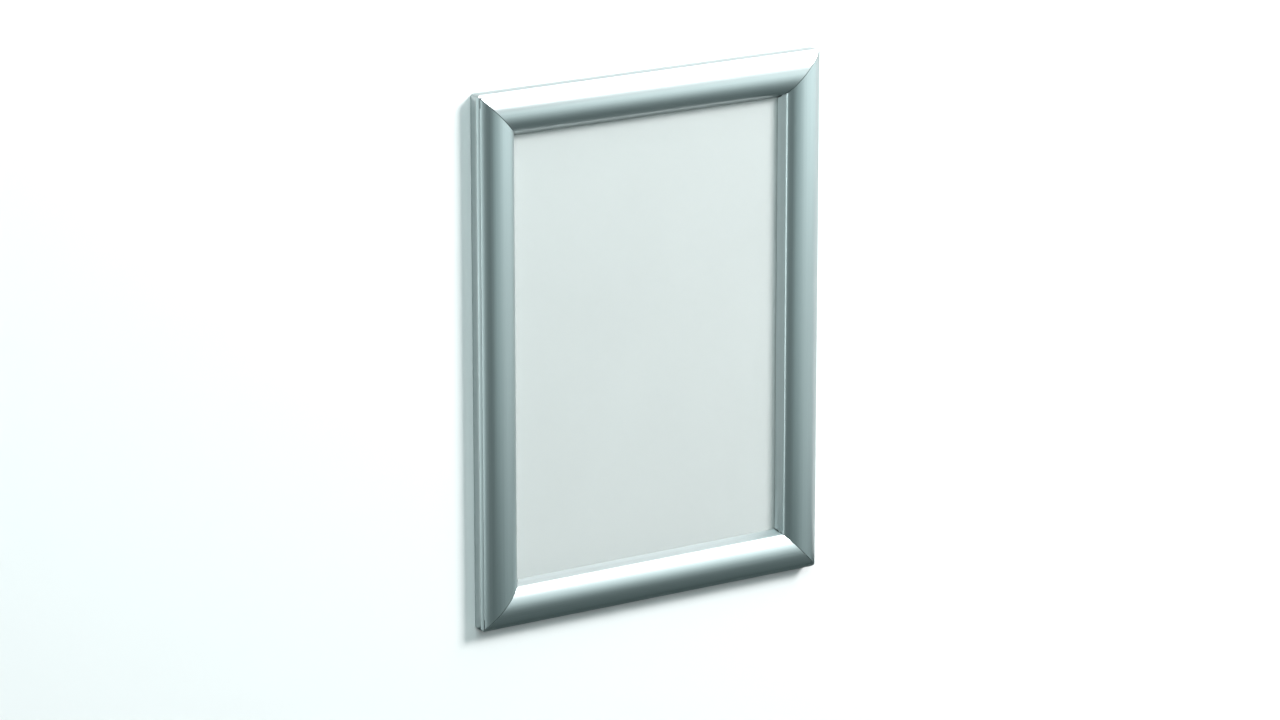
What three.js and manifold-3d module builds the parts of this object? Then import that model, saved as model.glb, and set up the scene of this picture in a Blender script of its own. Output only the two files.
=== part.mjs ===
// Wall-hung snap frame for one A4 sheet. Four mitred base rails stand on the wall, four domed
// lids swing open on the base rails' outer rims, and leaf springs hold each lid shut or open.
// A back panel, the poster and a clear cover lie between them, pinched by the lids' lips.
// Millimetres. +X right, +Z up, the front faces -Y and the plane Y = 0 is the wall.
import * as THREE from 'three';
import * as BufferGeometryUtils from 'three/addons/utils/BufferGeometryUtils.js';
import Module from 'manifold-3d';

const wasm = await Module();
wasm.setup();

// Driving dimensions of the whole frame
const sheetWidth = 210;
const sheetHeight = 297;
const sheetInset = 15;
const frameDepth = 12.6;
const cutOverrun = 1;

// Sheets between base and lids, from the wall outwards
const sheetGap = 0.05;
const panelThickness = 1;
const posterThickness = 0.15;
const coverThickness = 0.4;

// Base rail: floor on the wall, outer wall with a rim that slopes up to the lid's hinge edge,
// channel for brackets and springs
const floorThickness = 1;
const flangeReach = 24.3;
const wallThickness = 1.3;
const rimRadius = 0.9;
const rimHeight = 8.6;
const rimCrestInset = 1.6;
const rimBendHeight = 6.85;
const footInset = 0.4;
const footHeight = 1.6;
const channelWidth = 8.9;
const slotHeight = 1.5;
const guideThickness = 0.6;
const stopThickness = 0.9;
const guideLipReach = 0.7;
const guideLipThickness = 0.5;
const stopPlay = 0.6;
const baseCornerRadius = 3.8;
const baseMitreGap = 0.1;

// Screw holes through the floor of the top and bottom base rails
const screwHoleDiameter = 4.2;
const screwHolePitch = 150;

// Lid: domed shell, round hinge edge on the rim, leg with a toe under the rim, lip on the cover
const shellThickness = 1.1;
const hingeEdgeRadius = 0.55;
const hingeSeam = 0.25;
const hingeRise = 0.55;
const shoulderInset = 24.1;
const lipKneeInset = 26.6;
const lipKneeHeight = 4.6;
const lipTipInset = 27.5;
const lipTipThickness = 0.3;
const lipGap = 0.15;
const lipWall = 0.95;
const toeInset = 1.6;
const toeHeight = 6;
const toeThickness = 0.6;
const legWaistHeight = 7;
const legSeatReach = 0.15;
const legSeatHeight = 6.4;
const legSeatThickness = 0.3;
const lidMitreGap = 0.2;
const lipMitreGap = 0.65;
const lipMitreRise = 0.6;
const hingeEndRelief = 8;
const openAngle = THREE.MathUtils.degToRad(85);

// Leaf spring: rolled foot in the channel, rolled tip towards the lid's leg
const springThickness = 0.5;
const springWidth = 22;
const springBow = 0.9;
const springFootRadius = 0.5;
const springTipRadius = 0.35;
const springSideGap = 0.3;
const springSeatRadius = 2.2;
const springPlay = 0.25;
const springPlaceShare = 0.2;

// Corner bracket: a flat steel L in the channels of two base rails
const bracketThickness = 1.2;
const bracketArm = 34;
const bracketSideGap = 0.3;
const bracketFloorGap = 0.15;
const bracketCornerRadius = 2;

// Places that follow from the sizes above
const frameWidth = sheetWidth + 2 * sheetInset;
const frameHeight = sheetHeight + 2 * sheetInset;
const panelBack = floorThickness + sheetGap;
const posterBack = panelBack + panelThickness + sheetGap;
const coverBack = posterBack + posterThickness + sheetGap;
const lipTipHeight = coverBack + coverThickness + lipGap;
const stopInner = sheetInset - stopPlay;
const stopOuter = stopInner - stopThickness;
const guideInner = stopOuter - channelWidth;
const guideOuter = guideInner - guideThickness;
const guideTop = floorThickness + slotHeight + guideLipThickness;
const channelCentre = (guideInner + stopOuter) / 2;
const rimCentreHeight = rimHeight - rimRadius;
const hingeInset = 2 * rimRadius + hingeSeam + hingeEdgeRadius;
const hingeHeight = rimCentreHeight + hingeRise;
const springFootInset = stopOuter - springSideGap - springFootRadius;
const springFootHeight = floorThickness + slotHeight / 2;

// The dome is one arc, tangent to the round hinge edge and to the round inner shoulder
const domeCentreInset = (hingeInset + shoulderInset) / 2;
const domeHalfSpan = (shoulderInset - hingeInset) / 2;
const domeRise = frameDepth - hingeHeight;
const domeRadius = (domeHalfSpan ** 2 + domeRise ** 2 - hingeEdgeRadius ** 2)
  / (2 * (domeRise - hingeEdgeRadius));
const domeCentreHeight = frameDepth - domeRadius;
const domeEndAngle = Math.atan2(hingeHeight - domeCentreHeight, domeHalfSpan);

// Facets on the round edges, coarse because the section is small
const arcSegments = 6;
const domeSegments = 20;
const holeSegments = 24;

// Finishes
const satinAluminium = new THREE.MeshStandardMaterial({ color: 0xb4bfbf, roughness: 0.38, metalness: 1 });
const zincSteel = new THREE.MeshStandardMaterial({ color: 0xa8abad, roughness: 0.45, metalness: 1 });
const springSteel = new THREE.MeshStandardMaterial({ color: 0x6f7375, roughness: 0.35, metalness: 1 });
const whitePlastic = new THREE.MeshStandardMaterial({ color: 0xeef1f0, roughness: 0.6, metalness: 0 });
const paper = new THREE.MeshStandardMaterial({ color: 0xe6efed, roughness: 0.9, metalness: 0 });
const clearPlastic = new THREE.MeshStandardMaterial({
  color: 0xdfe8e6,
  roughness: 0.3,
  metalness: 0,
  transparent: true,
  opacity: 0.3,
});

// A closed three.js geometry as a solid that can be cut and joined
function solidFrom(geometry) {
  const bare = geometry.clone();
  bare.deleteAttribute('normal');
  bare.deleteAttribute('uv');
  const merged = BufferGeometryUtils.mergeVertices(bare);
  return new wasm.Manifold(new wasm.Mesh({
    numProp: 3,
    vertProperties: new Float32Array(merged.attributes.position.array),
    triVerts: new Uint32Array(merged.index.array),
  }));
}

function geometryFrom(solid) {
  const mesh = solid.getMesh();
  const geometry = new THREE.BufferGeometry();
  geometry.setAttribute('position', new THREE.BufferAttribute(new Float32Array(mesh.vertProperties), 3));
  geometry.setIndex(new THREE.BufferAttribute(new Uint32Array(mesh.triVerts), 1));
  geometry.computeVertexNormals();
  return geometry;
}

function namedMesh(name, geometry, material) {
  const mesh = new THREE.Mesh(geometry, material);
  mesh.name = name;
  return mesh;
}

// A rail lies along X, its outer face is the plane Z = 0 and it rises from the wall towards -Y.
// Its section is drawn as (inset from the outer face, height above the wall), and each end is
// cut at 45 degrees: the deeper the inset, the shorter the rail.
function mitredRail(section, length, gap) {
  const geometry = new THREE.ExtrudeGeometry(section, { depth: 1, bevelEnabled: false });
  const position = geometry.attributes.position;
  for (let index = 0; index < position.count; index += 1) {
    const inset = position.getX(index);
    const height = position.getY(index);
    const side = 2 * position.getZ(index) - 1;
    position.setXYZ(index, side * (length / 2 - inset - gap), -height, inset);
  }
  return solidFrom(geometry);
}

// A straight bar along X with the same kind of section, cut square
function squareBar(section, length) {
  const geometry = new THREE.ExtrudeGeometry(section, { depth: 1, bevelEnabled: false });
  const position = geometry.attributes.position;
  for (let index = 0; index < position.count; index += 1) {
    const along = (position.getZ(index) - 1 / 2) * length;
    position.setXYZ(index, along, -position.getY(index), position.getX(index));
  }
  return solidFrom(geometry);
}

function arcPoints(centre, radius, from, to, segments) {
  const points = [];
  for (let step = 0; step <= segments; step += 1) {
    const angle = from + ((to - from) * step) / segments;
    const across = centre.x + radius * Math.cos(angle);
    const up = centre.y + radius * Math.sin(angle);
    points.push(new THREE.Vector2(across, up));
  }
  return points;
}

function point(inset, height) {
  return new THREE.Vector2(inset, height);
}

// Base rail section. The rim is round under its inner side, where the lid's toe hooks in. Its
// outer face bends over and slopes up to the crest, in line with the dome of the lid.
function baseSection() {
  const rimCentre = point(rimRadius, rimCentreHeight);
  const rimStart = -Math.acos((wallThickness - rimRadius) / rimRadius);
  const bend = point(rimRadius, rimBendHeight);
  const crest = point(rimCrestInset, rimHeight);
  const crestAngle = Math.atan2(crest.y - bend.y, crest.x - bend.x);
  const bendStart = crestAngle + Math.acos(rimRadius / bend.distanceTo(crest));
  const lipBottom = floorThickness + slotHeight;
  return new THREE.Shape([
    point(footInset, 0),
    point(flangeReach, 0),
    point(flangeReach, floorThickness),
    point(stopInner, floorThickness),
    point(stopInner, guideTop),
    point(stopOuter - guideLipReach, guideTop),
    point(stopOuter - guideLipReach, lipBottom),
    point(stopOuter, lipBottom),
    point(stopOuter, floorThickness),
    point(guideInner, floorThickness),
    point(guideInner, lipBottom),
    point(guideInner + guideLipReach, lipBottom),
    point(guideInner + guideLipReach, guideTop),
    point(guideOuter, guideTop),
    point(guideOuter, floorThickness),
    point(wallThickness, floorThickness),
    ...arcPoints(rimCentre, rimRadius, rimStart, 0, arcSegments),
    point(2 * rimRadius, hingeHeight),
    crest,
    ...arcPoints(bend, rimRadius, bendStart, Math.PI, arcSegments),
    point(0, footHeight + footInset),
    point(footInset, footHeight),
  ]);
}

// The frame's outline in the wall plane, with its outer corners rounded, seen from one rail
function roundedOutline(length, span) {
  const half = length / 2 - baseCornerRadius;
  const corner = baseCornerRadius;
  const outline = new THREE.Shape([
    ...arcPoints(point(half, corner), corner, -Math.PI / 2, 0, arcSegments),
    point(length / 2, span),
    point(-length / 2, span),
    ...arcPoints(point(-half, corner), corner, -Math.PI, -Math.PI / 2, arcSegments),
  ]);
  const plate = new THREE.ExtrudeGeometry(outline, {
    depth: frameDepth + 2 * cutOverrun,
    bevelEnabled: false,
  });
  plate.rotateX(Math.PI / 2);
  plate.translate(0, cutOverrun, 0);
  return solidFrom(plate);
}

function screwHole(along) {
  const depth = floorThickness + 2 * cutOverrun;
  const radius = screwHoleDiameter / 2;
  const hole = new THREE.CylinderGeometry(radius, radius, depth, holeSegments);
  hole.translate(along, -floorThickness / 2, channelCentre);
  return solidFrom(hole);
}

function baseRail(name, length, hasScrewHoles) {
  let solid = mitredRail(baseSection(), length, baseMitreGap);
  solid = solid.intersect(roundedOutline(length, length / 2));
  if (hasScrewHoles) {
    solid = solid.subtract(screwHole(-screwHolePitch / 2));
    solid = solid.subtract(screwHole(screwHolePitch / 2));
  }
  return namedMesh(name, geometryFrom(solid), satinAluminium);
}

// Lid section: toe and leg, round hinge edge, dome, shoulder, lip, and back along the inside
function lidSection() {
  const hinge = point(hingeInset, hingeHeight);
  const dome = point(domeCentreInset, domeCentreHeight);
  const shoulder = point(shoulderInset, hingeHeight);
  const lipFall = Math.atan2(hingeHeight - lipKneeHeight, lipKneeInset - shoulderInset - hingeEdgeRadius);
  const lipNormal = Math.PI / 2 - lipFall;
  const lipShiftInset = lipWall * Math.cos(lipNormal);
  const lipShiftHeight = lipWall * Math.sin(lipNormal);
  const legRight = hingeInset + hingeEdgeRadius;
  return new THREE.Shape([
    point(toeInset, toeHeight),
    point(hingeInset, toeHeight),
    point(legRight + legSeatReach, legSeatHeight),
    point(legRight + legSeatReach, legSeatHeight + legSeatThickness),
    point(legRight, legWaistHeight),
    ...arcPoints(dome, domeRadius - shellThickness, Math.PI - domeEndAngle, domeEndAngle, domeSegments),
    point(lipKneeInset - lipShiftInset, lipKneeHeight - lipShiftHeight),
    point(lipKneeInset - lipShiftInset, lipTipHeight),
    point(lipTipInset, lipTipHeight),
    point(lipTipInset, lipTipHeight + lipTipThickness),
    point(lipKneeInset, lipKneeHeight),
    ...arcPoints(shoulder, hingeEdgeRadius, lipNormal, domeEndAngle, arcSegments / 2),
    ...arcPoints(dome, domeRadius, domeEndAngle, Math.PI - domeEndAngle, domeSegments).slice(1, -1),
    ...arcPoints(hinge, hingeEdgeRadius, Math.PI - domeEndAngle, Math.PI, arcSegments / 2),
    point(hingeInset - hingeEdgeRadius, toeHeight + toeThickness),
    point(toeInset, toeHeight + toeThickness),
  ]);
}

// Near the mitres the leg and the hinge edge are cut away, so that a lid swings past its neighbours
function hingeRelief(along) {
  const width = hingeInset + hingeEdgeRadius + 2 * legSeatReach + cutOverrun;
  const height = hingeHeight + hingeEdgeRadius / 2 + cutOverrun;
  const box = new THREE.BoxGeometry(2 * hingeEndRelief, height, width);
  box.translate(along, cutOverrun - height / 2, width / 2 - cutOverrun);
  return solidFrom(box);
}

// The foot of the lip ends further from the mitres, so that two neighbouring lids can open together
function lipRelief(length) {
  const foot = new THREE.Shape([
    point(shoulderInset, 0),
    point(lipTipInset + cutOverrun, 0),
    point(lipTipInset + cutOverrun, lipKneeHeight + lipMitreRise),
    point(shoulderInset, lipKneeHeight + lipMitreRise),
  ]);
  return mitredRail(foot, length, 0).subtract(mitredRail(foot, length, lipMitreGap));
}

function lid(name, length) {
  let solid = mitredRail(lidSection(), length, lidMitreGap);
  solid = solid.subtract(lipRelief(length));
  solid = solid.subtract(hingeRelief(-length / 2));
  solid = solid.subtract(hingeRelief(length / 2));
  return namedMesh(name, geometryFrom(solid), satinAluminium);
}

// Leaf spring: a bowed strip from its foot to just short of the seat on the lid's leg. Half way
// through the swing the seat comes nearest to the foot, so the strip's reach is set there.
function springSection() {
  const foot = point(springFootInset, springFootHeight);
  const hinge = point(hingeInset, hingeHeight);
  const footAngle = Math.atan2(foot.y - hinge.y, foot.x - hinge.x);
  const seatAngle = footAngle - openAngle / 2;
  const seat = point(
    hinge.x + springSeatRadius * Math.cos(seatAngle),
    hinge.y + springSeatRadius * Math.sin(seatAngle),
  );
  const reach = hinge.distanceTo(foot) - springSeatRadius - springPlay - springTipRadius;
  const direction = seat.clone().sub(foot).normalize();
  const tip = foot.clone().addScaledVector(direction, reach);
  const side = point(direction.y, -direction.x);
  const middle = foot.clone().lerp(tip, 1 / 2).addScaledVector(side, 2 * springBow);
  const bow = new THREE.QuadraticBezierCurve(foot, middle, tip);
  const upper = [];
  const lower = [];
  const steps = 2 * arcSegments;
  for (let step = 0; step <= steps; step += 1) {
    const centre = bow.getPoint(step / steps);
    const along = bow.getTangent(step / steps);
    const across = point(-along.y, along.x).multiplyScalar(springThickness / 2);
    upper.push(centre.clone().add(across));
    lower.push(centre.clone().sub(across));
  }
  return { strip: new THREE.Shape([...upper, ...lower.reverse()]), foot, tip };
}

function roller(centre, radius) {
  const rod = new THREE.CylinderGeometry(radius, radius, springWidth, holeSegments / 2);
  rod.rotateZ(Math.PI / 2);
  rod.translate(0, -centre.y, centre.x);
  return solidFrom(rod);
}

function leafSpring(name, along) {
  const { strip, foot, tip } = springSection();
  let solid = squareBar(strip, springWidth);
  solid = solid.add(roller(foot, springFootRadius));
  solid = solid.add(roller(tip, springTipRadius));
  const mesh = namedMesh(name, geometryFrom(solid), springSteel);
  mesh.position.x = along;
  return mesh;
}

// Corner bracket, drawn with its outer corner at the origin and its arms along +X and +Z
function cornerBracket(name) {
  const width = channelWidth - 2 * bracketSideGap;
  const start = guideInner + bracketSideGap;
  const round = bracketCornerRadius;
  const outerRound = point(start + round, start + round);
  const outline = new THREE.Shape([
    ...arcPoints(outerRound, round, Math.PI, (3 * Math.PI) / 2, arcSegments),
    point(bracketArm, start),
    point(bracketArm, start + width),
    point(start + width, start + width),
    point(start + width, bracketArm),
    point(start, bracketArm),
  ]);
  const plate = new THREE.ExtrudeGeometry(outline, { depth: bracketThickness, bevelEnabled: false });
  plate.rotateX(Math.PI / 2);
  plate.translate(0, -floorThickness - bracketFloorGap, 0);
  return namedMesh(name, geometryFrom(solidFrom(plate)), zincSteel);
}

function sheet(name, back, thickness, material) {
  const plate = new THREE.BoxGeometry(sheetWidth, thickness, sheetHeight);
  plate.translate(0, -back - thickness / 2, 0);
  return namedMesh(name, plate, material);
}

// The four sides, each turned about Y so that its outer face lies on the frame's outline
const sides = [
  { name: 'bottom', turn: 0, length: frameWidth, offset: frameHeight / 2, hasScrewHoles: true },
  { name: 'right', turn: -Math.PI / 2, length: frameHeight, offset: frameWidth / 2, hasScrewHoles: false },
  { name: 'top', turn: Math.PI, length: frameWidth, offset: frameHeight / 2, hasScrewHoles: true },
  { name: 'left', turn: Math.PI / 2, length: frameHeight, offset: frameWidth / 2, hasScrewHoles: false },
];

const corners = [
  { name: 'bottom_left', turn: 0, x: -1, z: -1 },
  { name: 'bottom_right', turn: -Math.PI / 2, x: 1, z: -1 },
  { name: 'top_right', turn: Math.PI, x: 1, z: 1 },
  { name: 'top_left', turn: Math.PI / 2, x: -1, z: 1 },
];

const frame = new THREE.Group();

for (const side of sides) {
  const group = new THREE.Group();
  group.rotation.y = side.turn;
  group.position.set(-side.offset * Math.sin(side.turn), 0, -side.offset * Math.cos(side.turn));
  group.add(baseRail(`base_rail_${side.name}`, side.length, side.hasScrewHoles));
  group.add(lid(`lid_${side.name}`, side.length));
  group.add(leafSpring(`spring_${side.name}_1`, -springPlaceShare * side.length));
  group.add(leafSpring(`spring_${side.name}_2`, springPlaceShare * side.length));
  frame.add(group);
}

for (const corner of corners) {
  const group = new THREE.Group();
  group.rotation.y = corner.turn;
  group.position.set((corner.x * frameWidth) / 2, 0, (corner.z * frameHeight) / 2);
  group.add(cornerBracket(`corner_bracket_${corner.name}`));
  frame.add(group);
}

frame.add(sheet('back_panel', panelBack, panelThickness, whitePlastic));
frame.add(sheet('poster_sheet', posterBack, posterThickness, paper));
frame.add(sheet('clear_cover', coverBack, coverThickness, clearPlastic));

export default frame;
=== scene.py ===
import math

import bmesh
import bpy
from mathutils import Matrix, Vector


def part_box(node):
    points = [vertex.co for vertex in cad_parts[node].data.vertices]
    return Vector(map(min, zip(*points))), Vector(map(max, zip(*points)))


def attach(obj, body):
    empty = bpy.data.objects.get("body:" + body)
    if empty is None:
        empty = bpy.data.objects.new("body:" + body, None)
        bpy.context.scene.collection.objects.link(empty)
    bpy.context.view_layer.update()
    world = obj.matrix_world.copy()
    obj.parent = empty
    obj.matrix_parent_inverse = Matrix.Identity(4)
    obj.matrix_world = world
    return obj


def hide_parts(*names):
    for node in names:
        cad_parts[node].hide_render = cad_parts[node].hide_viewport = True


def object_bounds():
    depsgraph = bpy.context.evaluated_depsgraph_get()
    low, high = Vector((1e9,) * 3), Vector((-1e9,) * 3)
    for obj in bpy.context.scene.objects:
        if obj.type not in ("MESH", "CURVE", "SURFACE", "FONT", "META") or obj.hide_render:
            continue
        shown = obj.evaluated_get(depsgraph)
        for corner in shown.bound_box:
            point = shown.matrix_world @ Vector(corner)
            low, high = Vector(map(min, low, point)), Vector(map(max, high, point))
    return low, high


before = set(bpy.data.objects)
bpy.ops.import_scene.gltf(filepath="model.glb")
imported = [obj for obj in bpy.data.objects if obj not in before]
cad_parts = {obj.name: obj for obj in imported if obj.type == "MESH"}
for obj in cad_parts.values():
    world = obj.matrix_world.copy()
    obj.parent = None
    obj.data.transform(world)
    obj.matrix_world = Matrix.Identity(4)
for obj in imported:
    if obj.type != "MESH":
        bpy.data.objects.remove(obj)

cad_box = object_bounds()
mm = 0.001

# The frame's outline, as its solids give it
low_corner, high_corner = cad_box
frame_width = high_corner.x - low_corner.x
frame_height = high_corner.z - low_corner.z
frame_depth = high_corner.y - low_corner.y

# Base rail. An inset is measured from the outer face, a height from the wall
floor_thickness = 1.0 * mm
flange_reach = 24.3 * mm
wall_thickness = 1.3 * mm
rim_radius = 0.9 * mm
rim_height = 8.31 * mm
rim_crest_inset = 1.8 * mm
rim_head_height = 7.7 * mm
rim_bend_radius = 1.8 * mm
foot_inset = 0.4 * mm
foot_height = 1.6 * mm
slot_height = 1.5 * mm
guide_outer = 4.0 * mm
guide_inner = 4.6 * mm
stop_outer = 13.5 * mm
stop_inner = 14.4 * mm
guide_lip_reach = 0.7 * mm
guide_lip_thickness = 0.5 * mm
base_corner_radius = 3.8 * mm
base_mitre_gap = 0.1 * mm
screw_hole_radius = 2.1 * mm
screw_hole_count = 2
screw_hole_step = 150 * mm
screw_hole_chamfer = 0.25 * mm

# Lid
shell_thickness = 1.1 * mm
hinge_edge_radius = 0.55 * mm
shoulder_round = 3.5 * mm
hinge_nose_reach = 0.5 * mm
hinge_nose_drop = 0.1 * mm
nose_round = 0.05 * mm
hinge_inset = 2.6 * mm
hinge_height = 8.25 * mm
shoulder_inset = 24.1 * mm
lip_knee_inset = 26.6 * mm
lip_knee_height = 4.6 * mm
lip_tip_inset = 27.5 * mm
lip_tip_height = 2.85 * mm
lip_tip_thickness = 0.3 * mm
lip_wall = 0.95 * mm
toe_inset = 1.6 * mm
toe_height = 6 * mm
toe_thickness = 0.6 * mm
leg_waist_height = 7 * mm
leg_seat_reach = 0.15 * mm
leg_seat_height = 6.4 * mm
leg_seat_thickness = 0.3 * mm
lid_mitre_gap = 0.2 * mm
lip_mitre_gap = 0.65 * mm
lip_mitre_rise = 0.6 * mm
hinge_end_relief = 8 * mm
cut_overrun = 1 * mm

# Leaf spring, from its rolled foot to its rolled tip, as (inset, height)
spring_thickness = 0.5 * mm
spring_foot = Vector((12.7 * mm, 1.75 * mm))
spring_foot_radius = 0.5 * mm
spring_tip_radius = 0.35 * mm
spring_seat_radius = 2.2 * mm
spring_play = 0.25 * mm
spring_bow = 0.9 * mm
lid_opening = math.radians(85)

# Corner bracket
bracket_arm = 34 * mm
bracket_start = 4.9 * mm
bracket_width = 8.3 * mm
bracket_round = 2 * mm
bracket_edge = 0.15 * mm
dimple_radius = 1.3 * mm
dimple_depth = 0.35 * mm
dimple_count = 2
dimple_start_share = 0.52
dimple_step_share = 0.3

# Roundings of edges, and the turn past which an edge stays sharp
fine_round = 0.12 * mm
bracket_tip_round = 0.24 * mm
crest_round = 0.04 * mm
lip_round = 0.13 * mm
end_round = 0.07 * mm
sheet_round = 0.12 * mm
smooth_angle = math.radians(28)

# Steps on round stretches. The shoulder's rounding takes up the first few of the dome's.
corner_steps = 4
rim_steps = 12
dome_steps = 72
shoulder_skip = 4
spring_steps = 16
outer_corner_steps = 24
dimple_steps = 24
hole_steps = 48


# Outlines

def arc(centre, radius, start, end, steps):
    """Points of an arc, from one angle to another, in radians."""
    points = []
    for step in range(steps + 1):
        angle = start + (end - start) * step / steps
        points.append(centre + radius * Vector((math.cos(angle), math.sin(angle))))
    return points


def rounded(corners):
    """A closed outline. Each corner is (point, radius), and a radius of zero keeps the point."""
    outline = []
    count = len(corners)
    for index, (point, radius) in enumerate(corners):
        if radius == 0:
            outline.append(point)
            continue
        before = (corners[index - 1][0] - point).normalized()
        after = (corners[(index + 1) % count][0] - point).normalized()
        half = before.angle(after) / 2
        centre = point + (before + after).normalized() * radius / math.sin(half)
        first = point + before * radius / math.tan(half) - centre
        last = point + after * radius / math.tan(half) - centre
        start = math.atan2(first.y, first.x)
        turn = (math.atan2(last.y, last.x) - start + math.pi) % math.tau - math.pi
        outline.extend(arc(centre, radius, start, start + turn, corner_steps))
    return outline


def sharp(points):
    """Points of an outline that stay as they are."""
    return [(point, 0) for point in points]


def dome_shape():
    """Centre, radius and end angle of the dome's arc, which touches both round edges."""
    half_span = (shoulder_inset - hinge_inset) / 2
    rise = frame_depth - hinge_height
    squares = half_span ** 2 + rise ** 2 - hinge_edge_radius ** 2
    radius = squares / (2 * (rise - hinge_edge_radius))
    centre = Vector(((hinge_inset + shoulder_inset) / 2, frame_depth - radius))
    end_angle = math.atan2(hinge_height - centre.y, half_span)
    return centre, radius, end_angle


def base_outline():
    """Section of a base rail as (inset, height): flange, stop, guide, and the sloping rim."""
    guide_top = floor_thickness + slot_height + guide_lip_thickness
    lip_bottom = floor_thickness + slot_height
    rim_centre = Vector((rim_radius, rim_head_height))
    rim_start = -math.acos((wall_thickness - rim_radius) / rim_radius)
    crest = Vector((rim_crest_inset, rim_height))
    dome_end = math.pi - dome_shape()[2]
    bend_rise = rim_bend_radius + (crest.x - rim_bend_radius) * -math.cos(dome_end)
    bend = Vector((rim_bend_radius, crest.y - bend_rise / math.sin(dome_end)))
    stop_lip = stop_outer - guide_lip_reach
    guide_lip = guide_inner + guide_lip_reach
    return rounded([
        (Vector((foot_inset, 0)), fine_round),
        (Vector((flange_reach, 0)), fine_round),
        (Vector((flange_reach, floor_thickness)), fine_round),
        (Vector((stop_inner, floor_thickness)), fine_round),
        (Vector((stop_inner, guide_top)), fine_round),
        (Vector((stop_lip, guide_top)), fine_round),
        (Vector((stop_lip, lip_bottom)), fine_round),
        (Vector((stop_outer, lip_bottom)), fine_round),
        (Vector((stop_outer, floor_thickness)), fine_round),
        (Vector((guide_inner, floor_thickness)), fine_round),
        (Vector((guide_inner, lip_bottom)), fine_round),
        (Vector((guide_lip, lip_bottom)), fine_round),
        (Vector((guide_lip, guide_top)), fine_round),
        (Vector((guide_outer, guide_top)), fine_round),
        (Vector((guide_outer, floor_thickness)), fine_round),
        (Vector((wall_thickness, floor_thickness)), fine_round),
        *sharp(arc(rim_centre, rim_radius, rim_start, 0, rim_steps)),
        (crest, crest_round),
        *sharp(arc(bend, rim_bend_radius, dome_end, math.pi, rim_steps)),
        (Vector((0, foot_height + foot_inset)), fine_round),
        (Vector((foot_inset, foot_height)), fine_round),
    ])


def lid_outline():
    """Section of a lid: toe, leg, inside of the shell, lip on the cover, and the dome."""
    centre, radius, end_angle = dome_shape()
    hinge = Vector((hinge_inset, hinge_height))
    shoulder = Vector((shoulder_inset, hinge_height))
    run = lip_knee_inset - shoulder_inset - hinge_edge_radius
    lip_normal = math.pi / 2 - math.atan2(hinge_height - lip_knee_height, run)
    shift = lip_wall * Vector((math.cos(lip_normal), math.sin(lip_normal)))
    knee = Vector((lip_knee_inset, lip_knee_height))
    leg_right = hinge_inset + hinge_edge_radius
    leg_left = hinge_inset - hinge_edge_radius
    seat = leg_right + leg_seat_reach
    half_turn = (end_angle - lip_normal) / 2
    reach = hinge_edge_radius / math.cos(half_turn)
    heading = lip_normal + half_turn
    shoulder_corner = shoulder + reach * Vector((math.cos(heading), math.sin(heading)))
    out = Vector((math.cos(math.pi - end_angle), math.sin(math.pi - end_angle)))
    along = Vector((out.y, -out.x))
    inner = arc(centre, radius - shell_thickness, math.pi - end_angle, end_angle, dome_steps)
    outer = arc(centre, radius, end_angle, math.pi - end_angle, dome_steps)
    return rounded([
        (Vector((toe_inset, toe_height)), fine_round),
        (Vector((hinge_inset, toe_height)), 0),
        (Vector((seat, leg_seat_height)), 0),
        (Vector((seat, leg_seat_height + leg_seat_thickness)), 0),
        (Vector((leg_right, leg_waist_height)), 0),
        *sharp(inner),
        (knee - shift, 0),
        (Vector((knee.x - shift.x, lip_tip_height)), 0),
        (Vector((lip_tip_inset, lip_tip_height)), 0),
        (Vector((lip_tip_inset, lip_tip_height + lip_tip_thickness)), lip_round),
        (knee, fine_round),
        (shoulder_corner, shoulder_round),
        *sharp(outer[shoulder_skip:-1]),
        *sharp([hinge + hinge_edge_radius * out]),
        (hinge + hinge_edge_radius * out - hinge_nose_reach * along, nose_round),
        (Vector((leg_left, hinge_height - hinge_nose_drop)), 0),
        (Vector((leg_left, toe_height + toe_thickness)), 0),
        (Vector((toe_inset, toe_height + toe_thickness)), fine_round),
    ])


def bead(centre, radius, heading):
    """The round end of a strip: an arc that leaves open only the strip's own thickness."""
    spread = math.pi - math.asin(spring_thickness / 2 / radius)
    return arc(centre, radius, heading - spread, heading + spread, spring_steps)


def spring_outline():
    """Section of a leaf spring: a bowed strip with a round bead at each end."""
    hinge = Vector((hinge_inset, hinge_height))
    foot = spring_foot
    foot_angle = math.atan2(foot.y - hinge.y, foot.x - hinge.x)
    seat_angle = foot_angle - lid_opening / 2
    seat = hinge + spring_seat_radius * Vector((math.cos(seat_angle), math.sin(seat_angle)))
    reach = (foot - hinge).length - spring_seat_radius - spring_play - spring_tip_radius
    heading = (seat - foot).normalized()
    tip = foot + heading * reach
    side = Vector((heading.y, -heading.x))
    middle = (foot + tip) / 2 + side * 2 * spring_bow
    upper = []
    lower = []
    for step in range(1, spring_steps):
        share = step / spring_steps
        centre = (1 - share) ** 2 * foot + 2 * share * (1 - share) * middle + share ** 2 * tip
        along = ((1 - share) * (middle - foot) + share * (tip - middle)).normalized()
        across = Vector((-along.y, along.x)) * spring_thickness / 2
        upper.append(centre + across)
        lower.append(centre - across)
    tip_heading = tip - middle
    foot_heading = foot - middle
    tip_bead = bead(tip, spring_tip_radius, math.atan2(tip_heading.y, tip_heading.x))
    foot_bead = bead(foot, spring_foot_radius, math.atan2(foot_heading.y, foot_heading.x))
    return upper + tip_bead[::-1] + lower[::-1] + foot_bead[::-1]


# Meshes

def closed_mesh(name, work):
    """The mesh of a closed solid, with its faces turned outwards."""
    bmesh.ops.recalc_face_normals(work, faces=work.faces)
    mesh = bpy.data.meshes.new(name)
    work.to_mesh(mesh)
    work.free()
    return mesh


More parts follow.
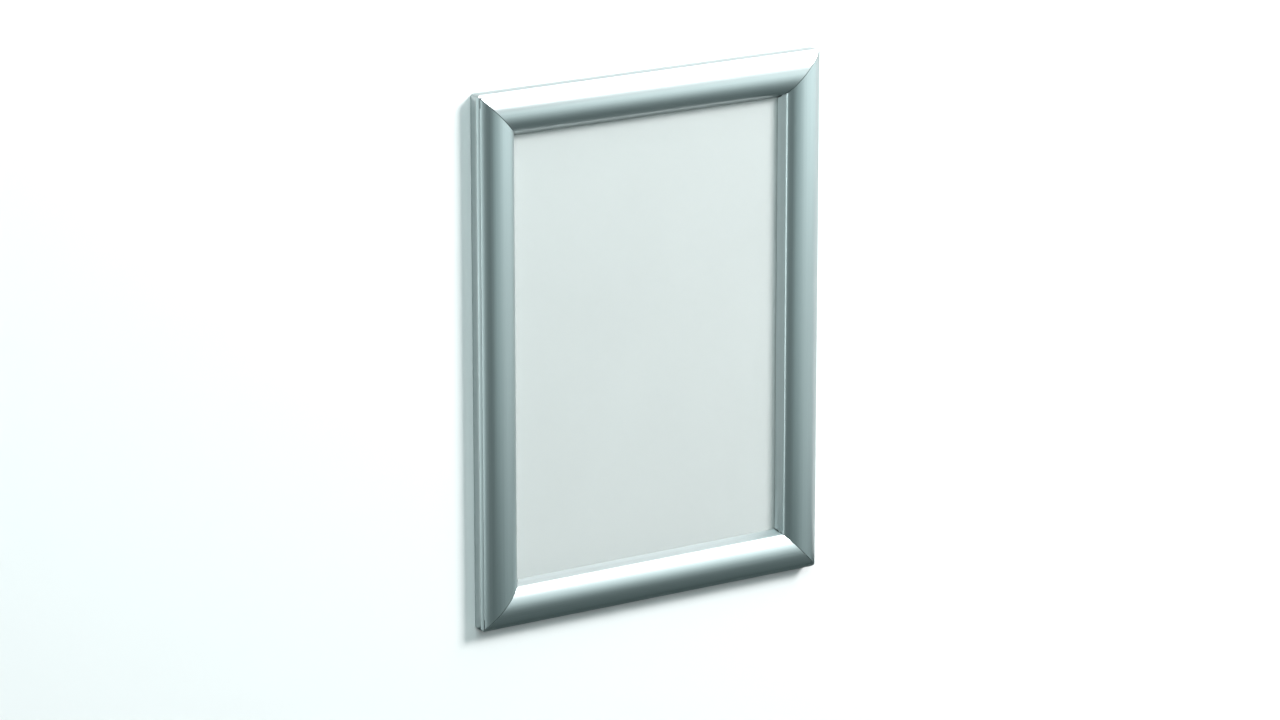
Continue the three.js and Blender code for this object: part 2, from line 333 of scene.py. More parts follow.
def skinned_mesh(name, layers):
    """A closed solid through outlines (x, z) with the same count of points, each at its own y."""
    work = bmesh.new()
    rings = []
    for outline, depth in layers:
        rings.append([work.verts.new((point.x, depth, point.y)) for point in outline])
    for first, second in zip(rings, rings[1:]):
        for index in range(len(first)):
            following = (index + 1) % len(first)
            corners = (first[index], second[index], second[following], first[following])
            work.faces.new(corners)
    work.faces.new(rings[0])
    work.faces.new(rings[-1])
    return closed_mesh(name, work)


def prism_mesh(outline, height):
    """A prism that rises from behind the wall plane."""
    return skinned_mesh("prism", ((outline, cut_overrun), (outline, -height)))


def plate_mesh(name, outline, back, thickness, edge):
    """A flat plate in the wall plane with rounded edges."""
    small = shrunk(outline, edge)
    front = -back - thickness
    layers = ((small, -back), (outline, -back - edge), (outline, front + edge), (small, front))
    return skinned_mesh(name, layers)


def is_clockwise(outline):
    area = 0
    for index, point in enumerate(outline):
        area += outline[index - 1].cross(point)
    return area < 0


def shrunk(outline, distance):
    """The same outline with each point moved inwards, for a rounded edge."""
    sign = 1 if is_clockwise(outline) else -1
    moved = []
    count = len(outline)
    for index, point in enumerate(outline):
        before = (point - outline[index - 1]).normalized()
        after = (outline[(index + 1) % count] - point).normalized()
        normal = Vector((before.y + after.y, -before.x - after.x)).normalized()
        moved.append(point + sign * normal * distance)
    return moved


def bar_mesh(name, outline, place):
    """A closed bar along X with rounded ends. place(inset) gives how far from its middle each
    end lies at that inset. Its UV map is (along, around) in metres."""
    work = bmesh.new()
    uv_layer = work.loops.layers.uv.new("run")
    small = shrunk(outline, end_round)
    rings = []
    for side, section, pull in ((-1, small, 0), (-1, outline, 1), (1, outline, 1), (1, small, 0)):
        ring = []
        for point in section:
            along = side * (place(point.x) - pull * end_round)
            ring.append(work.verts.new((along, -point.y, point.x)))
        rings.append(ring)
    around = [0.0]
    for index in range(len(outline)):
        step = outline[(index + 1) % len(outline)] - outline[index]
        around.append(around[-1] + step.length)
    for first, second in zip(rings, rings[1:]):
        for index in range(len(outline)):
            following = (index + 1) % len(outline)
            corners = (first[index], second[index], second[following], first[following])
            face = work.faces.new(corners)
            turns = (around[index], around[index], around[index + 1], around[index + 1])
            for loop, turn in zip(face.loops, turns):
                loop[uv_layer].uv = (loop.vert.co.x, turn)
    for ring in (rings[0], rings[-1]):
        face = work.faces.new(ring)
        for loop in face.loops:
            loop[uv_layer].uv = (loop.vert.co.y, loop.vert.co.z)
    return closed_mesh(name, work)


def new_object(name, mesh):
    piece = bpy.data.objects.new(name, mesh)
    bpy.context.scene.collection.objects.link(piece)
    return piece


def plain_mesh(piece):
    """Applies the modifiers of a piece and leaves one plain mesh in its place."""
    depsgraph = bpy.context.evaluated_depsgraph_get()
    mesh = bpy.data.meshes.new_from_object(piece.evaluated_get(depsgraph))
    piece.modifiers.clear()
    piece.data = mesh
    return piece


def cut(piece, operation, cutter_mesh):
    """Cuts a piece with a closed mesh, or keeps only what lies inside it."""
    cutter = new_object("cutter", cutter_mesh)
    modifier = piece.modifiers.new("cut", "BOOLEAN")
    modifier.operation = operation
    modifier.solver = "EXACT"
    modifier.object = cutter
    plain_mesh(piece)
    bpy.data.objects.remove(cutter)
    bpy.data.meshes.remove(cutter_mesh)


def smoothed(piece):
    """Smooth shading on round stretches, with edges left sharp where they turn further."""
    mesh = piece.data
    mesh.polygons.foreach_set("use_smooth", [True] * len(mesh.polygons))
    mesh.set_sharp_from_angle(angle=smooth_angle)
    return piece


def box_mesh(low, high):
    """A plain box, as a cutter."""
    work = bmesh.new()
    bmesh.ops.create_cube(work, size=1)
    place = Matrix.LocRotScale((low + high) / 2, None, high - low)
    bmesh.ops.transform(work, verts=work.verts, matrix=place)
    return closed_mesh("box", work)


def turned_mesh(profile, steps):
    """A closed solid turned about the Y axis. The profile is (radius, y) and starts and ends on
    the axis."""
    work = bmesh.new()
    rings = []
    for radius, along in profile:
        if radius == 0:
            rings.append([work.verts.new((0, along, 0))])
            continue
        ring = []
        for step in range(steps):
            angle = math.tau * step / steps
            point = (radius * math.cos(angle), along, radius * math.sin(angle))
            ring.append(work.verts.new(point))
        rings.append(ring)
    for first, second in zip(rings, rings[1:]):
        for step in range(steps):
            following = (step + 1) % steps
            corners = [first[step % len(first)], second[step % len(second)]]
            if len(second) > 1:
                corners.append(second[following])
            if len(first) > 1:
                corners.append(first[following])
            work.faces.new(corners)
    return closed_mesh("turned", work)


# Node trees, and the rows of cuts that one of them makes

def add(tree, kind, **values):
    """A node in a tree, with its settings."""
    node = tree.nodes.new(kind)
    for key, value in values.items():
        setattr(node, key, value)
    return node


def new_group(name, tree_type, inputs, outputs):
    """A node group with its named sockets, each as (label, type)."""
    group = bpy.data.node_groups.new(name, tree_type)
    for in_out, sockets in (("INPUT", inputs), ("OUTPUT", outputs)):
        for label, kind in sockets:
            group.interface.new_socket(label, in_out=in_out, socket_type=kind)
    return group


def row_tree():
    """Geometry nodes that repeat a cutter at equal steps, as a drill or a punch is moved on."""
    tree = new_group(
        "row_of_cuts",
        "GeometryNodeTree",
        (
            ("Cutter", "NodeSocketGeometry"),
            ("Count", "NodeSocketInt"),
            ("First Place", "NodeSocketVector"),
            ("Step", "NodeSocketVector"),
            ("Finish", "NodeSocketMaterial"),
        ),
        (("Cuts", "NodeSocketGeometry"),),
    )
    source = add(tree, "NodeGroupInput")
    target = add(tree, "NodeGroupOutput")
    line = add(tree, "GeometryNodeMeshLine")
    copies = add(tree, "GeometryNodeInstanceOnPoints")
    solid = add(tree, "GeometryNodeRealizeInstances")
    finish = add(tree, "GeometryNodeSetMaterial")
    tree.links.new(source.outputs["Count"], line.inputs["Count"])
    tree.links.new(source.outputs["First Place"], line.inputs["Start Location"])
    tree.links.new(source.outputs["Step"], line.inputs["Offset"])
    tree.links.new(line.outputs["Mesh"], copies.inputs["Points"])
    tree.links.new(source.outputs["Cutter"], copies.inputs["Instance"])
    tree.links.new(copies.outputs["Instances"], solid.inputs["Geometry"])
    tree.links.new(solid.outputs["Geometry"], finish.inputs["Geometry"])
    tree.links.new(source.outputs["Finish"], finish.inputs["Material"])
    tree.links.new(finish.outputs["Geometry"], target.inputs["Cuts"])
    return tree


def row_mesh(cutter_mesh, count, first, step, finish):
    """A row of cutters in one mesh."""
    row = new_object("row", cutter_mesh)
    modifier = row.modifiers.new("row", "NODES")
    modifier.node_group = row_of_cuts
    values = {"Count": count, "First Place": first, "Step": step, "Finish": finish}
    for socket in row_of_cuts.interface.items_tree:
        if socket.name in values:
            modifier[socket.identifier] = values[socket.name]
    mesh = plain_mesh(row).data
    bpy.data.objects.remove(row)
    bpy.data.meshes.remove(cutter_mesh)
    return mesh


# Places of the four sides and the four corners

# Name, turn about Y, length, and distance from the middle
frame_sides = (
    ("bottom", 0, frame_width, frame_height / 2),
    ("right", -math.pi / 2, frame_height, frame_width / 2),
    ("top", math.pi, frame_width, frame_height / 2),
    ("left", math.pi / 2, frame_height, frame_width / 2),
)
# Name, turn about Y, and which side it lies on along X and Z
frame_corners = (
    ("bottom_left", 0, -1, -1),
    ("bottom_right", -math.pi / 2, 1, -1),
    ("top_right", math.pi, 1, 1),
    ("top_left", math.pi / 2, -1, 1),
)


def side_place(turn, offset):
    """From a rail along X on the plane Z = 0 to its side of the frame."""
    shift = Vector((-offset * math.sin(turn), 0, -offset * math.cos(turn)))
    return Matrix.Translation(shift) @ Matrix.Rotation(turn, 4, "Y")


def corner_place(turn, side_x, side_z):
    """From a bracket at the origin, with its arms along +X and +Z, to its corner."""
    shift = Vector((side_x * frame_width / 2, 0, side_z * frame_height / 2))
    return Matrix.Translation(shift) @ Matrix.Rotation(turn, 4, "Y")


def finish_piece(piece, place, body, node, material):
    """Moves the mesh to its place, gives it its finish and lets it stand for its solid."""
    piece.data.transform(place)
    piece.data.materials.clear()
    piece.data.materials.append(material)
    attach(piece, body)
    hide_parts(node)


# Pieces

def rounded_prism(length, span):
    """The frame's outline as one rail sees it, with the outer corners rounded, as a prism."""
    half = length / 2 - base_corner_radius
    radius = base_corner_radius
    steps = outer_corner_steps
    outline = arc(Vector((half, radius)), radius, -math.pi / 2, 0, steps)
    outline.append(Vector((length / 2, span)))
    outline.append(Vector((-length / 2, span)))
    outline.extend(arc(Vector((-half, radius)), radius, -math.pi, -math.pi / 2, steps))
    return prism_mesh(outline, frame_depth + cut_overrun)


def lip_relief(length, side):
    """Cutter of the strip between a lid's mitre and the foot of its lip, at one end."""
    outline = []
    ends = (
        (shoulder_inset, lip_mitre_gap),
        (lip_tip_inset + cut_overrun, lip_mitre_gap),
        (lip_tip_inset + cut_overrun, -cut_overrun),
        (shoulder_inset, -cut_overrun),
    )
    for inset, gap in ends:
        outline.append(Vector((side * (length / 2 - inset - gap), inset)))
    return prism_mesh(outline, lip_knee_height + lip_mitre_rise)


def screw_holes():
    """Cutter of the holes through a rail's floor, with a small chamfer on both faces."""
    wide = screw_hole_radius + screw_hole_chamfer + cut_overrun
    profile = (
        (0, cut_overrun),
        (wide, cut_overrun),
        (screw_hole_radius, -screw_hole_chamfer),
        (screw_hole_radius, -floor_thickness + screw_hole_chamfer),
        (wide, -floor_thickness - cut_overrun),
        (0, -floor_thickness - cut_overrun),
    )
    span = (screw_hole_count - 1) * screw_hole_step
    first = Vector((-span / 2, 0, (guide_inner + stop_outer) / 2))
    step = Vector((screw_hole_step, 0, 0))
    drill = turned_mesh(profile, hole_steps)
    return row_mesh(drill, screw_hole_count, first, step, rail_aluminium)


def base_rail(name, length, has_holes):
    """A base rail along X, mitred at both ends, with or without its screw holes."""
    mesh = bar_mesh(name, base_outline(), lambda inset: length / 2 - inset - base_mitre_gap)
    piece = new_object(name, mesh)
    cut(piece, "INTERSECT", rounded_prism(length, length / 2))
    if has_holes:
        cut(piece, "DIFFERENCE", screw_holes())
    return smoothed(piece)


def lid(name, length):
    """A lid. Near the mitres its leg, hinge edge and lip are cut back so that it swings clear."""
    mesh = bar_mesh(name, lid_outline(), lambda inset: length / 2 - inset - lid_mitre_gap)
    piece = new_object(name, mesh)
    top = hinge_height + hinge_edge_radius / 2
    inner = hinge_inset + hinge_edge_radius + 2 * leg_seat_reach
    for side in (-1, 1):
        near = side * (length / 2 - hinge_end_relief)
        far = side * (length / 2 + hinge_end_relief)
        low = Vector((min(near, far), -top, -cut_overrun))
        high = Vector((max(near, far), cut_overrun, inner))
        cut(piece, "DIFFERENCE", box_mesh(low, high))
        cut(piece, "DIFFERENCE", lip_relief(length, side))
    return smoothed(piece)


def leaf_spring(name, node_box, turn_back):
    """A leaf spring, drawn where its solid lies once the side is turned back to lie along X."""
    low, high = node_box
    ends = sorted(((turn_back @ low).x, (turn_back @ high).x))
    half = (ends[1] - ends[0]) / 2
    piece = new_object(name, bar_mesh(name, spring_outline(), lambda inset: half))
    piece.data.transform(Matrix.Translation((sum(ends) / 2, 0, 0)))
    return smoothed(piece)


def corner_bracket(name, node_box):
    """A flat steel L with its outer corner rounded and two punched dimples on each arm."""
    low, high = node_box
    start = bracket_start
    end = start + bracket_width
    outline = rounded([
        (Vector((start, start)), bracket_round),
        (Vector((bracket_arm, start)), bracket_tip_round),
        (Vector((bracket_arm, end)), bracket_tip_round),
        (Vector((end, end)), bracket_tip_round),
        (Vector((end, bracket_arm)), bracket_tip_round),
        (Vector((start, bracket_arm)), bracket_tip_round),
    ])
    mesh = plate_mesh(name, outline, -high.y, high.y - low.y, bracket_edge)
    piece = new_object(name, mesh)
    middle = (start + end) / 2
    profile = (
        (0, -cut_overrun),
        (dimple_radius, -cut_overrun),
        (dimple_radius, 0),
        (dimple_radius / 2, dimple_depth * 3 / 4),
        (0, dimple_depth),
    )
    for along in (Vector((1, 0, 0)), Vector((0, 0, 1))):
        across = Vector((along.z, 0, along.x))
        first = along * dimple_start_share * bracket_arm + across * middle + Vector((0, low.y, 0))
        step = along * dimple_step_share * bracket_arm
        punch = turned_mesh(profile, dimple_steps)
        cut(piece, "DIFFERENCE", row_mesh(punch, dimple_count, first, step, zinc_steel))
    return smoothed(piece)


def sheet(name, edge):
    """A flat sheet in the place and size of its solid."""
    low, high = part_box(name)
    outline = rounded([
        (Vector((low.x, low.z)), sheet_round),
        (Vector((high.x, low.z)), sheet_round),
        (Vector((high.x, high.z)), sheet_round),
        (Vector((low.x, high.z)), sheet_round),
    ])
    piece = new_object(name + "_sheet", plate_mesh(name, outline, -high.y, high.y - low.y, edge))
    return smoothed(piece)


# Effects that several finishes share

def math_node(tree, operation, first, second):
    """A calculation on two values, each a number or a socket."""
    node = add(tree, "ShaderNodeMath", operation=operation)
    for socket, value in zip(node.inputs, (first, second)):
        if isinstance(value, bpy.types.NodeSocket):
            tree.links.new(value, socket)
        else:
            socket.default_value = value
    return node.outputs[0]


def noise(tree, place, detail):
    """A noise with features about one unit across."""
    node = add(tree, "ShaderNodeTexNoise", noise_dimensions="3D")
    node.inputs["Scale"].default_value = 1
    node.inputs["Detail"].default_value = detail
    tree.links.new(place, node.inputs["Vector"])
    return node


def drawn_lines_group():
    """Fine lines along an extrusion or a rolled strip, with a soft grain between them."""
    group = new_group(
        "drawn_lines",
        "ShaderNodeTree",
        (
            ("Along and Around", "NodeSocketVector"),
            ("Line Width", "NodeSocketFloat"),
            ("Line Length", "NodeSocketFloat"),
            ("Grain Size", "NodeSocketFloat"),
            ("Grain Share", "NodeSocketFloat"),
        ),
        (("Height", "NodeSocketFloat"), ("Shade", "NodeSocketFloat")),
    )
    source = add(group, "NodeGroupInput")
    target = add(group, "NodeGroupOutput")
    apart = add(group, "ShaderNodeSeparateXYZ")
    group.links.new(source.outputs["Along and Around"], apart.inputs[0])
    along = math_node(group, "DIVIDE", apart.outputs[0], source.outputs["Line Length"])
    around = math_node(group, "DIVIDE", apart.outputs[1], source.outputs["Line Width"])
    together = add(group, "ShaderNodeCombineXYZ")
    group.links.new(along, together.inputs[0])
    group.links.new(around, together.inputs[1])
    lines = noise(group, together.outputs[0], detail=3)
    finer = add(group, "ShaderNodeVectorMath", operation="SCALE")
    inverse = math_node(group, "DIVIDE", 1.0, source.outputs["Grain Size"])
    group.links.new(source.outputs["Along and Around"], finer.inputs[0])
    group.links.new(inverse, finer.inputs["Scale"])
    grain = noise(group, finer.outputs[0], detail=2)
    mix = add(group, "ShaderNodeMix", data_type="FLOAT")
    group.links.new(source.outputs["Grain Share"], mix.inputs["Factor"])
    group.links.new(lines.outputs["Fac"], mix.inputs["A"])
    group.links.new(grain.outputs["Fac"], mix.inputs["B"])
    group.links.new(mix.outputs["Result"], target.inputs["Height"])
    group.links.new(lines.outputs["Fac"], target.inputs["Shade"])
    return group


def mottle_group():
    """Soft patches over a finer grain, on the piece's own coordinates."""
    group = new_group(
        "mottle",
        "ShaderNodeTree",
        (
            ("Position", "NodeSocketVector"),
            ("Patch Size", "NodeSocketFloat"),
            ("Grain Size", "NodeSocketFloat"),
            ("Grain Share", "NodeSocketFloat"),
        ),
        (("Patches", "NodeSocketFloat"), ("Height", "NodeSocketFloat")),
    )
    source = add(group, "NodeGroupInput")
    target = add(group, "NodeGroupOutput")
    noises = []
    for label, detail in (("Patch Size", 2), ("Grain Size", 3)):
        scale = math_node(group, "DIVIDE", 1.0, source.outputs[label])
        node = noise(group, source.outputs["Position"], detail)
        group.links.new(scale, node.inputs["Scale"])
        noises.append(node)
    mix = add(group, "ShaderNodeMix", data_type="FLOAT")
    group.links.new(source.outputs["Grain Share"], mix.inputs["Factor"])
    group.links.new(noises[0].outputs["Fac"], mix.inputs["A"])
    group.links.new(noises[1].outputs["Fac"], mix.inputs["B"])
    group.links.new(noises[0].outputs["Fac"], target.inputs["Patches"])
    group.links.new(mix.outputs["Result"], target.inputs["Height"])
    return group


row_of_cuts = row_tree()
drawn_lines = drawn_lines_group()
mottle = mottle_group()


# Finishes

# A noise mostly stays between the first two values. The sheen's quarter turn lays it across the
# drawn lines, and the haze is how much of the clear cover's own matt face shows.
noise_low = 0.3
noise_high = 0.7
relief_depth = 0.05 * mm
across_the_lines = 0.25
cover_haze = 0.25


def new_material(name):
    """A material, its node tree and its shader."""
    material = bpy.data.materials.new(name)
    material.use_nodes = True
    return material, material.node_tree, material.node_tree.nodes["Principled BSDF"]


def placed_group(tree, group, values):
    """A shared effect, with this finish's own values."""
    node = add(tree, "ShaderNodeGroup", node_tree=group)
    for label, value in values.items():
        node.inputs[label].default_value = value
    return node


def ramp(tree, factor, colours):
    """A colour that goes from the first to the second as a noise rises."""
    node = add(tree, "ShaderNodeValToRGB")
    node.color_ramp.elements[0].position = noise_low
    node.color_ramp.elements[1].position = noise_high
    for element, colour in zip(node.color_ramp.elements, colours):
        element.color = (*colour, 1)
    tree.links.new(factor, node.inputs["Fac"])
    return node.outputs["Color"]


def spread(tree, factor, low, high):
    """A value that goes from low to high as a noise rises."""
    node = add(tree, "ShaderNodeMapRange")
    node.inputs["From Min"].default_value = noise_low
    node.inputs["From Max"].default_value = noise_high
    node.inputs["To Min"].default_value = low
    node.inputs["To Max"].default_value = high
    tree.links.new(factor, node.inputs["Value"])
    return node.outputs["Result"]


def surface(tree, shader, shade, height, colours, roughness, relief):
    """Colour that follows the shade, with roughness and bump that follow the height."""
    tree.links.new(ramp(tree, shade, colours), shader.inputs["Base Color"])
    tree.links.new(spread(tree, height, *roughness), shader.inputs["Roughness"])
    bump = add(tree, "ShaderNodeBump")
    bump.inputs["Strength"].default_value = relief
    bump.inputs["Distance"].default_value = relief_depth
    tree.links.new(height, bump.inputs["Height"])
    tree.links.new(bump.outputs["Normal"], shader.inputs["Normal"])


def drawn_metal(name, colours, roughness, anisotropy, grain, relief):
    """Extruded or rolled metal: lines along the piece's own UV map, and a sheen across them."""
    material, tree, shader = new_material(name)
    uv = add(tree, "ShaderNodeUVMap", uv_map="run")
    lines = placed_group(tree, drawn_lines, grain)
    tree.links.new(uv.outputs["UV"], lines.inputs["Along and Around"])
    tangent = add(tree, "ShaderNodeTangent", direction_type="UV_MAP", uv_map="run")
    tree.links.new(tangent.outputs[0], shader.inputs["Tangent"])
    shade = lines.outputs["Shade"]
    height = lines.outputs["Height"]
    surface(tree, shader, shade, height, colours, roughness, relief)
    shader.inputs["Metallic"].default_value = 1
    shader.inputs["Anisotropic"].default_value = anisotropy
    shader.inputs["Anisotropic Rotation"].default_value = across_the_lines
    return material


def mottled(name, colours, roughness, grain, relief, metallic=0.0):
    """A rolled, moulded or pressed surface with soft patches and a fine grain."""
    material, tree, shader = new_material(name)
    place = add(tree, "ShaderNodeTexCoord")
    patches = placed_group(tree, mottle, grain)
    tree.links.new(place.outputs["Object"], patches.inputs["Position"])
    shade = patches.outputs["Patches"]
    height = patches.outputs["Height"]
    surface(tree, shader, shade, height, colours, roughness, relief)
    shader.inputs["Metallic"].default_value = metallic
    return material


lid_aluminium = drawn_metal(
    "lid_aluminium",
    colours=((0.445, 0.485, 0.49), (0.485, 0.525, 0.53)),
    roughness=(0.29, 0.36),
    anisotropy=0.4,
    grain={
        "Line Width": 0.5 * mm,
        "Line Length": 260 * mm,
        "Grain Size": 0.35 * mm,
        "Grain Share": 0.6,
    },
    relief=0.10,
)
rail_aluminium = drawn_metal(
    "rail_aluminium",
    colours=((0.44, 0.48, 0.485), (0.48, 0.52, 0.525)),
    roughness=(0.34, 0.44),
    anisotropy=0.4,
    grain={
        "Line Width": 0.4 * mm,
        "Line Length": 260 * mm,
        "Grain Size": 0.35 * mm,
        "Grain Share": 0.5,
    },
    relief=0.12,
)
spring_steel = drawn_metal(
    "spring_steel",
    colours=((0.26, 0.28, 0.29), (0.36, 0.38, 0.39)),
    roughness=(0.25, 0.38),
    anisotropy=0.5,
    grain={
        "Line Width": 0.25 * mm,
        "Line Length": 30 * mm,
        "Grain Size": 0.3 * mm,
        "Grain Share": 0.3,
    },
    relief=0.15,
)
zinc_steel = mottled(
    "zinc_steel",
    colours=((0.50, 0.53, 0.55), (0.66, 0.68, 0.69)),
    roughness=(0.28, 0.48),
    grain={
        "Patch Size": 5 * mm,
        "Grain Size": 0.6 * mm,
        "Grain Share": 0.4,
    },
    relief=0.12,
    metallic=1.0,
)
white_plastic = mottled(
    "white_plastic",
    colours=((0.78, 0.81, 0.80), (0.82, 0.84, 0.83)),
    roughness=(0.5, 0.62),
    grain={
        "Patch Size": 30 * mm,
        "Grain Size": 0.7 * mm,
        "Grain Share": 0.7,
    },
    relief=0.15,
)
poster_paper = mottled(
    "poster_paper",
    colours=((0.66, 0.67, 0.665), (0.67, 0.68, 0.675)),
    roughness=(0.85, 0.95),
    grain={
        "Patch Size": 45 * mm,
        "Grain Size": 0.3 * mm,
        "Grain Share": 0.8,
    },
    relief=0.08,
)
cover_film = mottled(
    "cover_film",
    colours=((0.68, 0.70, 0.69), (0.70, 0.72, 0.71)),
    roughness=(0.26, 0.36),
    grain={
        "Patch Size": 60 * mm,
        "Grain Size": 0.4 * mm,
        "Grain Share": 0.8,
    },
    relief=0.05,
)
cover_film.node_tree.nodes["Principled BSDF"].inputs["Alpha"].default_value = cover_haze


# Assembly

for name, turn, length, offset in frame_sides:
    place = side_place(turn, offset)
    rail = base_rail("rail_" + name, length, name in ("bottom", "top"))
    finish_piece(rail, place, "base", "base_rail_" + name, rail_aluminium)
    cap = lid("domed_lid_" + name, length)
    finish_piece(cap, place, name + "_lid", "lid_" + name, lid_aluminium)
    for number in ("1", "2"):
        node = f"spring_{name}_{number}"
        leaf = leaf_spring(f"leaf_{name}_{number}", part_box(node), place.inverted())
        finish_piece(leaf, place, name + "_springs", node, spring_steel)

for name, turn, side_x, side_z in frame_corners:
    node = "corner_bracket_" + name
    piece = corner_bracket("bracket_" + name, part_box(node))
    place = corner_place(turn, side_x, side_z)
    finish_piece(piece, place, "base", node, zinc_steel)

# Sheet, rounding of its edges, slot and finish
for node, edge, slot_name, material in (
    ("back_panel", 0.1 * mm, "panel_plastic", white_plastic),
    ("poster_sheet", 0.02 * mm, "poster_paper", poster_paper),
    ("clear_cover", 0.05 * mm, "cover_plastic", cover_film),
):
    finish_piece(sheet(node, edge), Matrix.Identity(4), "base", node, material)


# Stage: a white wall just behind the frame and a pale floor far below it

wall_gap = 0.2 * mm
wall_half = 2.0
opening_inset = 3 * mm
floor_half = 3.0
floor_drop = 1.4
floor_reach = 1.3
card_gap = 0.5 * mm
card_half_width = 1.0
card_height = 1.2


def stage_plane(name, points, faces, material):
    """A plane or a ring of planes that isn't part of the frame."""
    mesh = bpy.data.meshes.new(name)
    mesh.from_pydata(points, [], faces)
    mesh.materials.append(material)
    plane = new_object(name, mesh)
    return plane


def paint(name, colour, roughness, gloss):
    """A plain material for the stage."""
    material, tree, shader = new_material(name)
    shader.inputs["Base Color"].default_value = (*colour, 1)
    shader.inputs["Roughness"].default_value = roughness
    shader.inputs["Specular IOR Level"].default_value = gloss
    return material


def clear_from_behind(material):
    """Lets the frame's back be seen through the wall."""
    tree = material.node_tree
    shader = tree.nodes["Principled BSDF"]
    side = add(tree, "ShaderNodeNewGeometry")
    clear = add(tree, "ShaderNodeBsdfTransparent")
    mix = add(tree, "ShaderNodeMixShader")
    output = tree.nodes["Material Output"]
    tree.links.new(side.outputs["Backfacing"], mix.inputs["Fac"])
    tree.links.new(shader.outputs["BSDF"], mix.inputs[1])
    tree.links.new(clear.outputs["BSDF"], mix.inputs[2])
    tree.links.new(mix.outputs["Shader"], output.inputs["Surface"])


def upright(half_width, low, high, depth):
    """Corners of an upright rectangle, centred on X."""
    corners = ((-half_width, low), (half_width, low), (half_width, high), (-half_width, high))
    return [(x, depth, z) for x, z in corners]


# The wall is open behind the frame, where the frame covers it, so that light reaches the back
wall_paint = paint("wall_paint", colour=(0.86, 0.86, 0.86), roughness=0.9, gloss=0)
clear_from_behind(wall_paint)
opening_half = frame_width / 2 - opening_inset
opening_top = frame_height / 2 - opening_inset
outer_edge = upright(wall_half, -floor_drop, wall_half, wall_gap)
inner_edge = upright(opening_half, -opening_top, opening_top, wall_gap)
one_face = [(0, 1, 2, 3)]
ring_faces = [(k, (k + 1) % 4, (k + 1) % 4 + 4, k + 4) for k in range(4)]
stage_plane("wall", outer_edge + inner_edge, ring_faces, wall_paint)

ground = stage_plane(
    "ground",
    [
        (-floor_half, -floor_reach, -floor_drop),
        (floor_half, -floor_reach, -floor_drop),
        (floor_half, wall_gap, -floor_drop),
        (-floor_half, wall_gap, -floor_drop),
    ],
    one_face,
    paint("floor_paint", colour=(0.85, 0.87, 0.87), roughness=0.8, gloss=0.5),
)
ground.visible_glossy = False

# A dark card just before the wall below the frame, seen only in the metal's reflections
card_top = -frame_height / 2
card = stage_plane(
    "dark_card",
    upright(card_half_width, card_top - card_height, card_top, -card_gap),
    one_face,
    paint("card_paint", colour=(0.04, 0.06, 0.06), roughness=0.9, gloss=0),
)
card.visible_camera = False
card.visible_diffuse = False
card.visible_shadow = False
card.visible_transmission = False


# Lights

def area_light(name, place, target, size, watts, colour):
    """A soft light that shows in the metal but not as a panel of its own in any view."""
    data = bpy.data.lights.new(name, "AREA")
    data.shape = "RECTANGLE"
    data.size, data.size_y = size
    data.energy = watts
    data.color = colour
    light = bpy.data.objects.new(name, data)
    bpy.context.scene.collection.objects.link(light)
    light.location = place
    light.rotation_euler = (target - place).to_track_quat("-Z", "Y").to_euler()
    light.visible_camera = False
    return light


def direction(azimuth, elevation):
    """A direction in degrees. Azimuth 0 is straight ahead of the wall and grows to the right."""
    azimuth = math.radians(azimuth)
    elevation = math.radians(elevation)
    level = math.cos(elevation)
    return Vector((math.sin(azimuth) * level, -math.cos(azimuth) * level, math.sin(elevation)))


frame_centre = Vector((0, 0, 0))
white_light = (1.0, 1.0, 1.0)
cool_light = (0.86, 1.0, 1.0)
teal_light = (0.80, 1.0, 1.0)
deep_teal_light = (0.72, 1.0, 1.0)

# Standing softboxes, seen only in the metal and the cover: azimuth, heights of the lower and
# upper edges, distance, width, watts and colour. Three on the right stand on one another.
for name, azimuth, low, high, distance, width, watts, colour in (
    ("left_softbox", -62, -0.55, 0.10, 1.3, 0.25, 3.1, cool_light),
    ("centre_softbox", 8, -0.46, 0.20, 1.3, 0.65, 0.9, teal_light),
    ("right_softbox_high", 56, -0.16, 0.22, 1.07, 1.40, 2.8, cool_light),
    ("right_softbox_middle", 56, -0.42, -0.16, 1.07, 1.40, 0.9, cool_light),
    ("right_softbox_low", 56, -0.70, -0.42, 1.07, 1.40, 0.3, teal_light),
):
    middle = Vector((0, 0, (low + high) / 2))
    place = middle + direction(azimuth, 0) * distance
    softbox = area_light(name, place, middle, (width, high - low), watts, colour)
    softbox.visible_diffuse = False

# Raised lights, aimed at the frame: azimuth, elevation, distance, size, watts and colour
for name, azimuth, elevation, distance, size, watts, colour in (
    ("key_light", 48, 35, 2.4, 0.7, 79.0, white_light),
    ("left_fill", -25, 35, 2.4, 1.5, 27.0, teal_light),
    ("top_fill", -5, 60, 2.4, 1.5, 13.0, teal_light),
    ("right_fill", 62, 58, 2.4, 1.0, 10.0, white_light),
    ("back_light", 200, 30, 1.6, 1.2, 22.0, white_light),
):
    place = direction(azimuth, elevation) * distance
    area_light(name, place, frame_centre, (size, size), watts, colour)

# The room: an even light, what the metal mirrors, and what the camera sees past the stage
room_glow = 0.06
room_in_metal = 0.16
backdrop_colour = (0.93, 0.95, 0.95)
backdrop_glow = 1.0


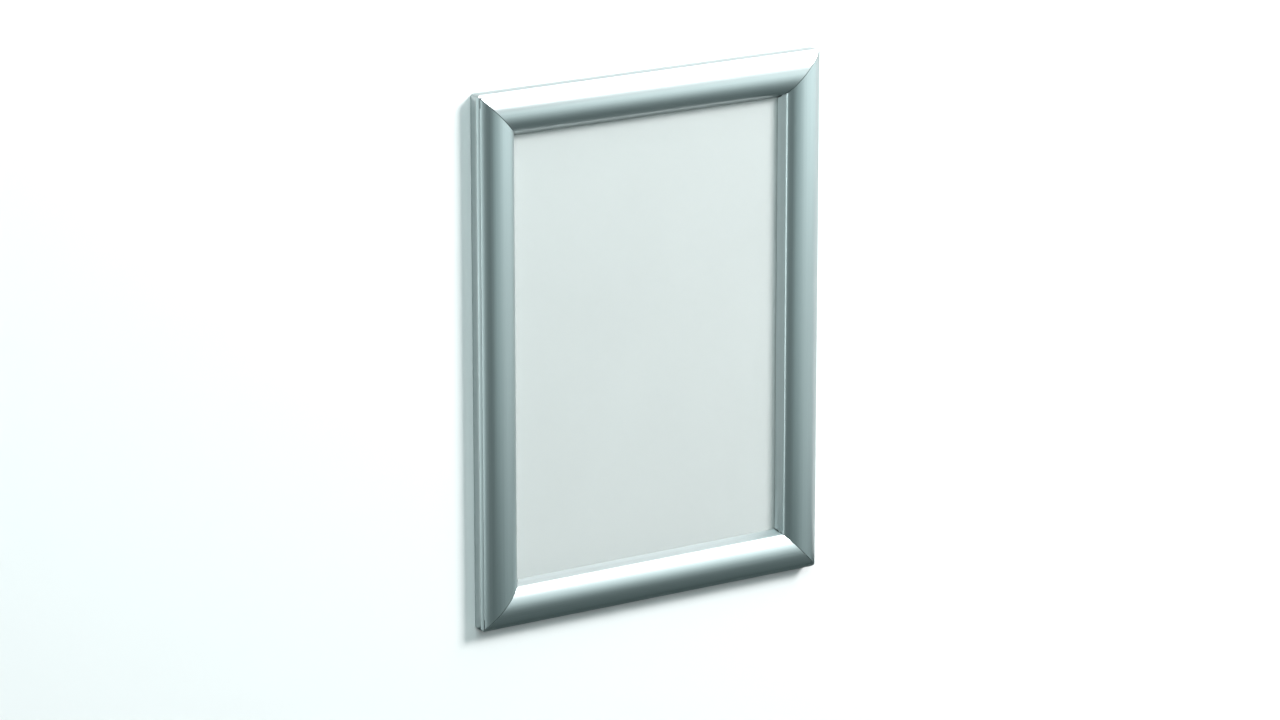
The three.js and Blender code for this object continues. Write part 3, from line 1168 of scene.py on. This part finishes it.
def background(tree, colour, strength):
    node = add(tree, "ShaderNodeBackground")
    node.inputs["Color"].default_value = (*colour, 1)
    node.inputs["Strength"].default_value = strength
    return node.outputs["Background"]


def studio_world():
    """Pale to the camera, dim in the metal's reflections, and a weak even light elsewhere."""
    world = bpy.data.worlds.new("studio")
    world.use_nodes = True
    tree = world.node_tree
    tree.nodes.clear()
    path = add(tree, "ShaderNodeLightPath")
    shown = background(tree, teal_light, room_glow)
    for ray, colour, strength in (
        ("Is Glossy Ray", deep_teal_light, room_in_metal),
        ("Is Camera Ray", backdrop_colour, backdrop_glow),
    ):
        mix = add(tree, "ShaderNodeMixShader")
        tree.links.new(path.outputs[ray], mix.inputs["Fac"])
        tree.links.new(shown, mix.inputs[1])
        tree.links.new(background(tree, colour, strength), mix.inputs[2])
        shown = mix.outputs["Shader"]
    output = add(tree, "ShaderNodeOutputWorld")
    tree.links.new(shown, output.inputs["Surface"])
    bpy.context.scene.world = world


studio_world()
bpy.context.scene.view_settings.view_transform = "Standard"


# Camera at the photo's angle. The pixel is where the frame's centre lies in the picture.

camera_azimuth = -32.34
camera_elevation = 15.81
camera_distance = 3.024
camera_lens = 142.1
sensor_width = 36
centre_pixel = (645.0, 336.1)
picture_size = (1280, 720)


def main_camera():
    """A camera that looks along its angle, moved aside to place the frame in the picture."""
    data = bpy.data.cameras.new("main")
    data.sensor_width = sensor_width
    data.lens = camera_lens
    camera = bpy.data.objects.new("main", data)
    bpy.context.scene.collection.objects.link(camera)
    back = direction(camera_azimuth, camera_elevation)
    turn = (-back).to_track_quat("-Z", "Y")
    pixel = camera_distance * sensor_width / camera_lens / picture_size[0]
    right = turn @ Vector((1, 0, 0))
    up = turn @ Vector((0, 1, 0))
    shift_right = (picture_size[0] / 2 - centre_pixel[0]) * pixel
    shift_up = (centre_pixel[1] - picture_size[1] / 2) * pixel
    camera.location = back * camera_distance + right * shift_right + up * shift_up
    camera.rotation_euler = turn.to_euler()
    bpy.context.scene.camera = camera


main_camera()
